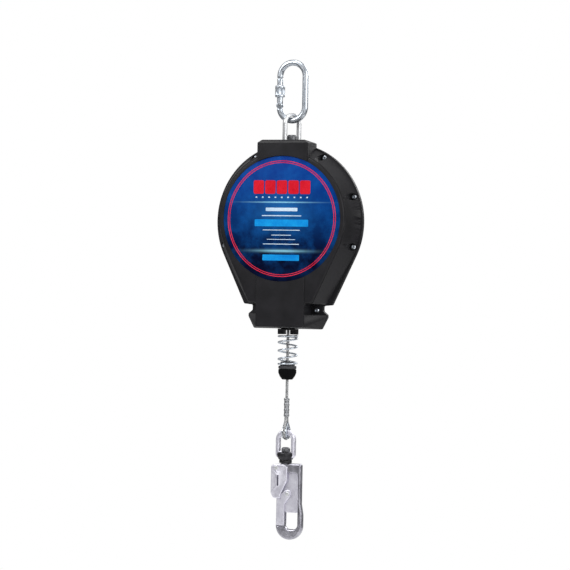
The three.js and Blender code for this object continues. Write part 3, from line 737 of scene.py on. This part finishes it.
def label():
    """The round label: its ground, rings, plain marks and bars, one material each."""
    bm = bmesh.new()

    def mark(faces_before, index):
        """Gives material index to the faces made since faces_before."""
        for f in list(bm.faces)[faces_before:]:
            f.material_index = index

    edge = [(0, LABEL_BACK, 0), (LABEL_R, LABEL_BACK, 0.1), (LABEL_R, LABEL_FRONT, 0.15), (0, LABEL_FRONT, 0)]
    lathe(bm, rounded(edge, 2), 128, "Y", ORIGIN)
    count = len(bm.faces)
    for inner, outer in ((94.7, 95.8), (97.6, 98.9)):
        band = [(inner, PRINT_BACK), (outer, PRINT_BACK), (outer, PRINT_FRONT), (inner, PRINT_FRONT)]
        lathe(bm, band, 128, "Y", ORIGIN, loop=True)
    mark(count, RING)

    def bar(x0, x1, z0, z1, index, radius):
        """A thin plate with rounded corners."""
        start = len(bm.faces)
        pts = rounded([(x0, z0, radius), (x1, z0, radius), (x1, z1, radius), (x0, z1, radius)], 4)
        lo = [bm.verts.new((x, PRINT_BACK, z)) for x, z in pts]
        hi = [bm.verts.new((x, PRINT_FRONT, z)) for x, z in pts]
        bm.faces.new(lo)
        bm.faces.new(hi[::-1])
        for i in range(len(pts)):
            j = (i + 1) % len(pts)
            bm.faces.new((lo[i], hi[i], hi[j], lo[j]))
        mark(start, index)

    for k in range(5):
        bar(-52 + k * 21.2, -33 + k * 21.2, 42, 65, RED, 3.0)
    for k in range(9):
        bar(-48 + k * 11.6, -45 + k * 11.6, 35.2, 37.4, WHITE, 0.5)
    # Each centred bar is its half width, low edge, high edge, colour and corner radius.
    centred = [
        (29, 12.8, 18.6, WHITE, 0.8),
        (36, 4.2, 5.8, WHITE, 0.4),
        (49, -13.2, -1.4, CYAN, 1.2),
        (34, -20.0, -18.8, WHITE, 0.3),
        (18, -28.6, -27.4, WHITE, 0.3),
        (26, -35.8, -34.8, WHITE, 0.3),
        (33, -43.8, -42.6, WHITE, 0.3),
        (33.5, -71.3, -61.2, CYAN, 1.2),
    ]
    for half, low, high, colour, radius in centred:
        bar(-half, half, low, high, colour, radius)
    ob = finish_mesh("label", bm)
    for material in (LABEL_GROUND, LABEL_RING, LABEL_RED, LABEL_CYAN, LABEL_WHITE):
        ob.data.materials.append(material)
    return ob


dress(label(), "front_label")

# ---------------------------------------------------------------- casing screws


def screw(x, z):
    """A button-head screw with a hexagon socket."""
    bm = bmesh.new()
    n = 24

    def ring(r, y, hexagon=False):
        """One round or hexagonal row of vertices."""
        out = []
        for i in range(n):
            t = TAU * i / n
            rr = r
            if hexagon:
                rr = r * math.cos(math.pi / 6) / math.cos((t + math.pi / 6) % (math.pi / 3) - math.pi / 6)
            out.append(bm.verts.new((x + rr * math.cos(t), y, z + rr * math.sin(t))))
        return out

    shank_and_head = [
        (2.0, -38.5), (2.0, -46.3), (4.4, -46.3), (4.5, -46.6),
        (4.35, -47.4), (3.9, -48.2), (3.2, -48.75), (2.5, -48.95),
    ]
    rings = [ring(r, y) for r, y in shank_and_head]
    rings += [ring(r, y, hexagon=True) for r, y in ((2.1, -48.8), (2.0, -48.4), (1.9, -47.0))]
    for a, b in zip(rings, rings[1:]):
        for i in range(n):
            j = (i + 1) % n
            bm.faces.new((a[i], a[j], b[j], b[i]))
    bm.faces.new(rings[0][::-1])
    bm.faces.new(rings[-1])
    return finish_mesh("screw", bm)


for i, (x, z) in enumerate(SCREWS):
    dress(screw(x, z), f"housing_screw_{i + 1}", ZINC)

# ---------------------------------------------------------------- anchor swivel


EYE_TURN = 60  # degrees from facing front


def spin_about_axis(ob, degrees):
    """Turns ob's mesh about the swivel axis."""
    turn = Matrix.Rotation(math.radians(degrees), 4, "Z")
    ob.data.transform(Matrix.Translation((0, MID, 0)) @ turn @ Matrix.Translation((0, -MID, 0)))
    return ob


eye_edge = [(-18.5, 126, 4), (18.5, 126, 4)] + [(x, z, 0) for x, z in arc(0, 163, 18.5, 0, 180, 28)]
eye_hole = [(-11.8, 134.3, 2), (11.8, 134.3, 2)] + [(x, z, 0) for x, z in arc(0, 164.4, 11.8, 0, 180, 28)]
eye = slab("eye", [rounded(eye_edge, 5), rounded(eye_hole, 5)], MID - 4, MID + 4, 2.4, 5)
carve(eye, rod(5.4, 120, 140))
dress(spin_about_axis(eye, EYE_TURN), "anchor_eye", STEEL)

bolt = [
    (0, 99, 0), (5, 99, 0.8), (5, 134.7, 0),
    (8, 134.7, 0.4), (8, 141.6, 0.6), (6.6, 144.3, 0.8), (0, 144.3, 0),
]
bolt_ob = turned("bolt", rounded(bolt, 4), segs=48)
dress(carve(bolt_ob, rod(3.4, 140.6, 150, segs=6)), "anchor_swivel_bolt", DARK_STEEL)

# ---------------------------------------------------------------- carabiner

BEND, ROD_R, LOW, HIGH, STRAIGHT = 23.25, 5.2, 192.3, 244.8, 52.5
GATE_X, PIVOT_Z = -BEND, 195.0
GATE_R = 5.1
PIN_HOLE_R = 1.75
SLEEVE_R = 8.4


def carabiner_body():
    """The bent bar, with the flat tab that the gate turns on."""
    path = [(GATE_X, MID, 241.7)]
    path += [(x, MID, z) for x, z in arc(0, HIGH, BEND, 180, 0, 40)]
    path += [(BEND, MID, HIGH - STRAIGHT * k / 12) for k in range(1, 12)]
    path += [(x, MID, z) for x, z in arc(0, LOW, BEND, 0, -172, 40)]
    bm = bmesh.new()
    sweep(bm, path, ROD_R, 32)
    ob = soften(finish_mesh("carabiner", bm), 0.8, 2, 50)
    tab_edge = [(GATE_X - 3.6, PIVOT_Z - 10, 1), (GATE_X + 3.6, PIVOT_Z - 10, 1)]
    tab_edge += [(x, z, 0) for x, z in arc(GATE_X, PIVOT_Z, 4.2, 0, 180, 14)]
    tab = slab("tab", [rounded(tab_edge, 3)], MID - 2.2, MID + 2.2, 0.4, 2)
    merge(ob, tab)
    return carve(ob, rod(PIN_HOLE_R, -60, -20, "Y", GATE_X, PIVOT_Z, 20))


def carabiner_gate():
    """The gate's bar, round at its foot and chamfered at its nose, with a fork over the tab."""
    bm = bmesh.new()
    heights = [GATE_R * (1 - math.cos(t * math.pi / 12)) for t in range(7)]
    low = [(GATE_X, MID, PIVOT_Z - GATE_R + h) for h in heights]
    angles = [math.acos(max(-1.0, min(1.0, (PIVOT_Z - z) / GATE_R))) for x, y, z in low]
    radii = [max(0.6, GATE_R * math.sin(a)) for a in angles]
    top = [(GATE_X, MID, z) for z in (205, 215, 225, 235, 239.6, 240.6, 241)]
    sweep(bm, low + top, radii + [GATE_R] * 5 + [4.8, 4.3], 32)
    ob = finish_mesh("gate", bm)
    cheeks = slab("cheeks", [arc(GATE_X, PIVOT_Z, GATE_R, 0, 360, 32)[:-1]], MID - 4.6, MID + 4.6, 0.6, 3)
    merge(ob, cheeks)
    carve(ob, block(-40, 0, MID - 2.6, MID + 2.6, PIVOT_Z - 8, PIVOT_Z + 6.2))
    return carve(ob, rod(PIN_HOLE_R, -60, -20, "Y", GATE_X, PIVOT_Z, 20))


dress(carabiner_body(), "carabiner_body", ZINC)
dress(carabiner_gate(), "carabiner_gate", ZINC)
pin = rounded([(0, -4.95, 0), (1.5, -4.95, 0.4), (1.5, 4.95, 0.4), (0, 4.95, 0)], 3)
dress(turned("pin", pin, axis="Y", centre=(GATE_X, MID, PIVOT_Z), segs=24), "carabiner_gate_pin", DARK_STEEL)
sleeve_profile = rounded([
    (5.7, 209, 0.3), (7.6, 209, 0.3), (SLEEVE_R, 210.2, 0.5), (SLEEVE_R, 212.2, 0.2),
    (SLEEVE_R, 225.8, 0.2), (SLEEVE_R, 227.8, 0.5), (7.6, 229, 0.3), (5.7, 229, 0.3),
], 3)
# The grip grooves start and stop between two close rows.
groove_rows = [(SLEEVE_R, z) for z in (212.6, 212.9, 219, 225.1, 225.4)]
at = next(i for i, (radius, z) in enumerate(sleeve_profile) if z > 215)
sleeve_profile[at:at] = groove_rows
grip = (36, 0.45, 212.8, 225.2)
sleeve = turned("sleeve", sleeve_profile, segs=144, centre=(GATE_X, MID, 0), ripple=grip, loop=True)
dress(sleeve, "carabiner_sleeve", ZINC)

# ---------------------------------------------------------------- outlet and bumper

NOZZLE_R = 17.9
collar = [
    (6.6, -189.5, 0.5), (NOZZLE_R, -189.5, 0.8), (NOZZLE_R, -187.45, 0.4),
    (12.1, -187.45, 0), (12.1, -166, 0.6), (6.6, -166, 0.4),
]
nozzle = turned("nozzle", rounded(collar, 4), segs=64, loop=True)
lugs = turned("lugs", disc_profile(NOZZLE_R, -196.8, -188, 1.0, 4), segs=64)
carve(lugs, block(-30, 30, MID - 30, MID - 6, -200, -180), block(-30, 30, MID + 6, MID + 30, -200, -180))
carve(lugs, block(-6, 6, MID - 20, MID + 20, -200, -180))
dress(merge(nozzle, soften(lugs, 0.7, 3, 50)), "outlet_nozzle", BLACK)


def spring_points(turns, r_top, r_low, top, low, closed_turns=0.9, closed_rise=0.055, n=26):
    """A coil's centre line whose ends rise by only closed_rise of its height each."""
    total = turns + 2 * closed_turns
    pts = []
    count = int(total * n)
    for i in range(count + 1):
        t = total * i / count
        if t < closed_turns:
            f = closed_rise * t / closed_turns
        elif t > total - closed_turns:
            f = 1 - closed_rise * (total - t) / closed_turns
        else:
            f = closed_rise + (1 - 2 * closed_rise) * (t - closed_turns) / turns
        a = TAU * t - 0.6
        r = r_top + (r_low - r_top) * f
        pts.append((r * math.cos(a), MID - r * math.sin(a), top + (low - top) * f))
    return pts


bm = bmesh.new()
sweep(bm, spring_points(3.1, 16.1, 15.5, -198.7, -248.6), 1.6, 14)
spring = finish_mesh("spring", bm)
dress(spring, "bumper_spring", ZINC)

seat = [
    (3, -255.8, 0.5), (15.5, -255.8, 1.2), (15.5, -250.8, 0.9), (12.8, -250.6, 0.5), (11.8, -243.2, 1.2),
    (3, -243.2, 0.4),
]
dress(turned("seat", rounded(seat, 4), segs=56, loop=True), "bumper_seat", DARK_NYLON)

stopper = [
    (2.8, -256.2, 0.4), (15.5, -256.2, 1.6), (15.5, -262.6, 2.5), (13, -268.4, 2), (8.9, -274, 1.4),
    (2.8, -274, 0.4),
]
dress(turned("stopper", rounded(stopper, 5), segs=56, loop=True), "rope_stopper", RUBBER)

ferrule = [(2.8, -338, 0.2), (3.9, -338, 0.5), (4.75, -336.6, 0.6)]
for k in range(3):
    z0 = -333.5 + k * 9.0
    ferrule += [(4.75, z0, 0.4), (4.25, z0 + 0.9, 0.5), (4.25, z0 + 5.2, 0.5), (4.75, z0 + 6.1, 0.4)]
ferrule += [(4.75, -306.8, 0.5), (4.0, -305.6, 0.5), (2.8, -305.6, 0.2)]
dress(turned("ferrule", rounded(ferrule, 3), segs=40, loop=True), "rope_ferrule", ALUMINIUM)

# ---------------------------------------------------------------- wire rope

rope = wire_strands("rope", [(0, MID, -163.4), (0, MID, -240), (0, MID, -315.4)])
dress(rope, "wire_rope", WIRE, follow=False)
BAR_Z = -364.8
side = [(2.7, 26.3), (3.6, 20.5), (7.6, 9.5)]
loop = [(-v, h) for v, h in side]
loop += arc(0, 0, 10.6, 180, 360, 6)
loop += [(v, h) for v, h in reversed(side)]


def smooth_path(pts, per=10):
    """A Catmull-Rom curve through pts."""
    pts = [Vector(p) for p in pts]
    ext = [2 * pts[0] - pts[1]] + pts + [2 * pts[-1] - pts[-2]]
    out = []
    for i in range(1, len(ext) - 2):
        p0, p1, p2, p3 = ext[i - 1:i + 3]
        for k in range(per):
            t = k / per
            square = 2 * p0 - 5 * p1 + 4 * p2 - p3
            cube = 3 * p1 - p0 - 3 * p2 + p3
            out.append(0.5 * (2 * p1 + (p2 - p0) * t + square * t * t + cube * t**3))
    out.append(pts[-1])
    return out


loop_path = smooth_path([(0, MID + v, BAR_Z + h) for v, h in loop])
dress(wire_strands("loop", loop_path, lay=26, step=1.3), "rope_loop", WIRE)


def drop(r, point):
    """A teardrop outline: a circle of radius r drawn up to a point."""
    a = math.degrees(math.asin(r / point))
    return [(0, point, 1.5)] + [(x, z, 0) for x, z in arc(0, 0, r, a, -180 - a, 40)]


def shifted(pts):
    """pts about the rope eye's centre, as y and z."""
    return [(v + MID, h + BAR_Z) for v, h in pts]


thimble_edges = [shifted(rounded(drop(r, point), 4)) for r, point in ((11, 18.5), (6.7, 13.2))]
thimble = slab("thimble", thimble_edges, -4.3, 4.3, 0.35, 2, "X")
bm = bmesh.new()
sweep(bm, along(loop_path, 1.5), 2.85, 20)
carve(thimble, finish_mesh("groove", bm))
dress(thimble, "rope_thimble", ZINC)

# ---------------------------------------------------------------- hook swivel

eye2_edge = [(-17.6, -408.6, 7), (17.6, -408.6, 7)] + [(x, z, 0) for x, z in arc(0, -376.9, 17.6, 0, 180, 32)]
eye2_hole = [(-10.3, -398, 2), (10.3, -398, 2), (10.3, -370.3, 6), (-10.3, -370.3, 6)]
eye2 = slab("eye2", [rounded(eye2_edge, 8), rounded(eye2_hole, 8)], MID - 5, MID + 5, 2.9, 6)
SWIVEL_HOLE_R = 4.35
dress(carve(eye2, rod(SWIVEL_HOLE_R, -415, -390)), "hook_swivel_eye", FORGED)

cup = [
    (SWIVEL_HOLE_R, -411.3, 0.3), (11.4, -411.3, 1.5), (14.8, -405.5, 4), (14.8, -398.3, 2.2),
    (SWIVEL_HOLE_R, -398.3, 0.3),
]
cup_ob = turned("cup", rounded(cup, 6), segs=64, loop=True)
dress(carve(cup_ob, block(-19, 19, MID - 5.2, MID + 5.2, -408.8, -390)), "hook_swivel_cup", OXIDE)

bolt2 = [
    (0, -434, 0), (4, -434, 0.5), (4, -397.6, 0),
    (7.4, -397.6, 0.4), (7.4, -392, 1.0), (5.4, -390, 0.8), (0, -390, 0),
]
bolt2_ob = turned("bolt2", rounded(bolt2, 4), segs=48)
dress(carve(bolt2_ob, rod(3.0, -393, -385, segs=6)), "hook_swivel_bolt", DARK_STEEL)
ring2 = [
    (SWIVEL_HOLE_R, -416.8, 0.3), (10.9, -416.8, 0.9), (10.9, -411.7, 0.9), (SWIVEL_HOLE_R, -411.7, 0.3),
]
dress(turned("ring2", rounded(ring2, 4), segs=48, loop=True), "hook_swivel_collar", OXIDE)

# ---------------------------------------------------------------- snap hook

PX, PZ = 6.5, -469.0  # the gate's pivot
LX, LZ = -13.5, -425.0  # the lever's pivot
PIVOT_HOLE_R = 2.3


def pivot_hole(x, z):
    """A cutter for a rivet's hole."""
    return rod(PIVOT_HOLE_R, -60, -20, "Y", x, z, 20)


def hook_frame():
    """The hook's bow, its thinner web and the boss that takes the swivel bolt."""
    bow = [(-7.7, -417.2, 1.5), (30.3, -417.2, 4), (30.3, -486, 12), (33.4, -504, 12)]
    bow += [(x, z, 0) for x, z in arc(9.5, -523.5, 23.9, 0, -180, 40)]
    bow += [
        (-14.3, -508, 1.5), (1.5, -508, 2), (1.5, -529.6, 8), (25, -529.6, 8), (25, -434, 8),
        (-7.7, -434, 1.5),
    ]
    ob = slab("hook", [rounded(bow, 9)], MID - 6, MID + 6, 3.2, 6)
    tip = rod(47.2, -50, -34, "Y", PX, PZ, 96)
    carve(tip, block(10.5, 83, -60, -20, -600, -400), block(-77, 83, -60, -20, -505, -400))
    carve(ob, tip)
    for lo, hi in ((MID - 8, MID - 3.5), (MID + 3.5, MID + 8)):
        pocket = rod(58.9, lo, hi, "Y", PX, PZ, 96)
        carve(pocket, block(22.5, 93, -60, -20, -600, -400), block(-87, 93, -60, -20, -500, -400))
        carve(ob, pocket)
    soften(ob, 0.5, 2, 60)
    web = [
        (-17.5, -420.5, 2), (-14.5, -418.5, 2), (23, -418.5, 1), (26.5, -422, 1), (26.5, -501, 0),
        (3, -501, 3), (-5.5, -484, 3), (-8.5, -474, 2), (-11.5, -462, 2), (-11.5, -434, 3), (-17.5, -430, 2),
    ]
    plate = slab("web", [rounded(web, 4)], MID - 3.5, MID + 3.5, 0.7, 3)
    boss = turned("boss", disc_profile(6.2, -437, -417.2, 0.5), segs=40)
    merge(ob, plate, boss)
    return carve(ob, rod(SWIVEL_HOLE_R, -434.4, -410), pivot_hole(PX, PZ), pivot_hole(LX, LZ))


def hook_gate():
    """The gate, a channel open towards the hook's throat."""
    edge = [
        (-13.5, -475, 3), (1, -463.8, 4), (6.5, -462.2, 5), (12.4, -463.4, 5), (12.3, -472, 5),
        (1.5, -486, 6), (1.5, -523.5, 2.5), (-13.5, -523.5, 2.5),
    ]
    ob = slab("gate2", [rounded(edge, 6)], MID - 6.3, MID + 6.3, 1.5, 4)
    lo, hi = MID - 3.9, MID + 3.9
    carve(ob, block(-11.3, 23, lo, hi, -530, -450), block(-21.5, 23, lo, hi, -530, -511), pivot_hole(PX, PZ))
    return soften(ob, 0.35, 2, 60)


def hook_lever():
    """The lock lever, a channel over the web with a slot in front and grip grooves down its back."""
    edge = [
        (-23.5, -422, 5), (-18.5, -419, 3), (2, -419, 3), (6.5, -424, 3), (6.5, -446, 5),
        (-5.5, -471, 3), (-6, -477, 2), (-19, -477, 4), (-23.5, -468, 4),
    ]
    ob = slab("lever", [rounded(edge, 6)], MID - 9, MID + 9, 1.8, 4)
    lo, hi = MID - 6.7, MID + 6.7
    carve(ob, block(-21.5, 13, lo, hi, -480, -410), block(-27, 13, lo, hi, -480, -471))
    slot_edge = arc(-10.5, -454.5, 1.5, 180, 360, 8) + arc(-10.5, -438.5, 1.5, 0, 180, 8)
    carve(ob, slab("slot", [slot_edge], -60, MID - 6.2, 0.01, 0), pivot_hole(LX, LZ))
    grooves = [
        block(-23.5, -22.3, MID - 6.5, MID + 6.5, z, z + 1.3) for z in (-467, -463.6, -460.2, -456.8, -453.4)
    ]
    return soften(carve(ob, *grooves), 0.3, 2, 60)


def rivet(x, z, grip):
    """A rivet with two low heads. grip is half the thickness between them."""
    head = [
        (0, -grip - 1.2, 0), (2.6, -grip - 1.15, 0.8), (3.6, -grip - 0.4, 0.3),
        (3.6, -grip, 0.1), (2, -grip, 0),
    ]
    profile = head + [(r, -h, fillet) for r, h, fillet in reversed(head)]
    return turned("rivet", rounded(profile, 3), axis="Y", centre=(x, MID, z), segs=32)


# The bow, its spine and its foot take a darker copy of the web's metal: painted shade for their rounded
# sides, which face away from the light.
hook = hook_frame()
hook.data.materials.clear()
hook.data.materials.append(FORGED)
hook.data.materials.append(FORGED_PAINTED_SHADE)
for face in hook.data.polygons:
    x, y, z = face.center
    face.material_index = int(abs(y - MID) > 3.8 or x > 27 or z < -503)
dress(hook, "hook_frame")
dress(hook_gate(), "hook_gate", FORGED)
dress(hook_lever(), "hook_lock_lever", FORGED)
dress(rivet(PX, PZ, 6.6), "hook_gate_rivet", STEEL)
dress(rivet(LX, LZ, 9.3), "hook_lever_rivet", STEEL)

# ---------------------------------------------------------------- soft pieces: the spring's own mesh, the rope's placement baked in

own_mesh(spring)
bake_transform(rope)

# The CAD nodes that stay get the material of their slot.
for name, ob in frame["nodes"].items():
    if name not in replaced:
        for material_slot in ob.material_slots:
            material_slot.material = SLOT_MATERIAL[NODE_SLOT[name]]

# ---------------------------------------------------------------- studio

FLOOR_TOP, FLOOR_LOW, FLOOR_R = -0.80, -0.84, 1.6
disc = [
    (0, FLOOR_TOP, 0), (1.55, FLOOR_TOP, 0), (FLOOR_R, -0.81, 0),
    (FLOOR_R, FLOOR_LOW, 0.01), (0, FLOOR_LOW, 0),
]
floor = turned("studio_floor", rounded(disc, 3), segs=96, centre=(0, MID * MM, 0))
FLOOR = surface(
    "studio_floor", srgb(226, 226, 226), srgb(236, 236, 236),
    (0.6, 0.75), grain=60, bump=0.05, blotch=4,
)
floor.data.materials.append(FLOOR)

world = bpy.data.worlds.new("studio")
scene.world = world
world.use_nodes = True
wt = world.node_tree
wt.nodes.clear()
co = wt.nodes.new("ShaderNodeTexCoord")
sep = wt.nodes.new("ShaderNodeSeparateXYZ")
wt.links.new(co.outputs["Generated"], sep.inputs[0])
ramp = wt.nodes.new("ShaderNodeValToRGB")
# The sky that lights the object is grey below and white above. The camera sees plain white.
for i, (at, level) in enumerate([(0.0, 0.22), (0.42, 0.34), (0.52, 0.62), (0.75, 0.85), (1.0, 1.0)]):
    e = ramp.color_ramp.elements[i] if i < 2 else ramp.color_ramp.elements.new(at)
    e.position = at
    e.color = (level, level, level * 1.01, 1)
up = maths(wt, "ADD", maths(wt, "MULTIPLY", sep.outputs[2], 0.5), 0.5)
wt.links.new(up, ramp.inputs[0])
lit = wt.nodes.new("ShaderNodeBackground")
wt.links.new(ramp.outputs[0], lit.inputs[0])
lit.inputs[1].default_value = 0.55
seen = wt.nodes.new("ShaderNodeBackground")
seen.inputs[0].default_value = (1, 1, 1, 1)
seen.inputs[1].default_value = 1.0
path = wt.nodes.new("ShaderNodeLightPath")
mix = wt.nodes.new("ShaderNodeMixShader")
out = wt.nodes.new("ShaderNodeOutputWorld")
wt.links.new(path.outputs["Is Camera Ray"], mix.inputs[0])
wt.links.new(lit.outputs[0], mix.inputs[1])
wt.links.new(seen.outputs[0], mix.inputs[2])
wt.links.new(mix.outputs[0], out.inputs[0])


def soft_light(name, azimuth, height, distance, size, power, aim=(0, -0.042, -0.1)):
    """A square area light at an azimuth about the object, aimed at it."""
    data = bpy.data.lights.new(name, "AREA")
    data.shape = "SQUARE"
    data.size = size
    data.energy = power
    ob = bpy.data.objects.new(name, data)
    scene.collection.objects.link(ob)
    a = math.radians(azimuth)
    ob.location = (distance * math.sin(a), -distance * math.cos(a), height)
    ob.rotation_euler = (Vector(aim) - ob.location).to_track_quat("-Z", "Y").to_euler()


soft_light("key", -35, 1.3, 2.0, 1.2, 31)
soft_light("fill", 75, 0.6, 2.2, 1.4, 22)
soft_light("top", 10, 2.4, 0.6, 1.2, 22)
soft_light("rim", 165, 1.0, 2.2, 1.2, 20)
soft_light("front", 30, -0.1, 3.0, 1.6, 10)

camera_data = bpy.data.cameras.new("camera")
camera = bpy.data.objects.new("camera", camera_data)
scene.collection.objects.link(camera)
scene.camera = camera
AZ = math.radians(22.0)
ROLL = math.radians(1.1)
DISTANCE = 5.0
VIEW_HEIGHT = 0.975
SIDE_SHIFT = -0.0068
AIM_Z = -0.1125
aim = Vector((math.cos(AZ) * SIDE_SHIFT, MID * MM + math.sin(AZ) * SIDE_SHIFT, AIM_Z))
camera.location = aim + Vector((math.sin(AZ), -math.cos(AZ), 0)) * DISTANCE
look = (aim - camera.location).to_track_quat("-Z", "Y").to_matrix().to_4x4()
camera.rotation_euler = (look @ Matrix.Rotation(ROLL, 4, "Z")).to_euler()
SENSOR = 36
camera_data.sensor_width = SENSOR
camera_data.lens = SENSOR * DISTANCE / VIEW_HEIGHT
camera_data.clip_end = 50
scene.view_settings.view_transform = "Standard"
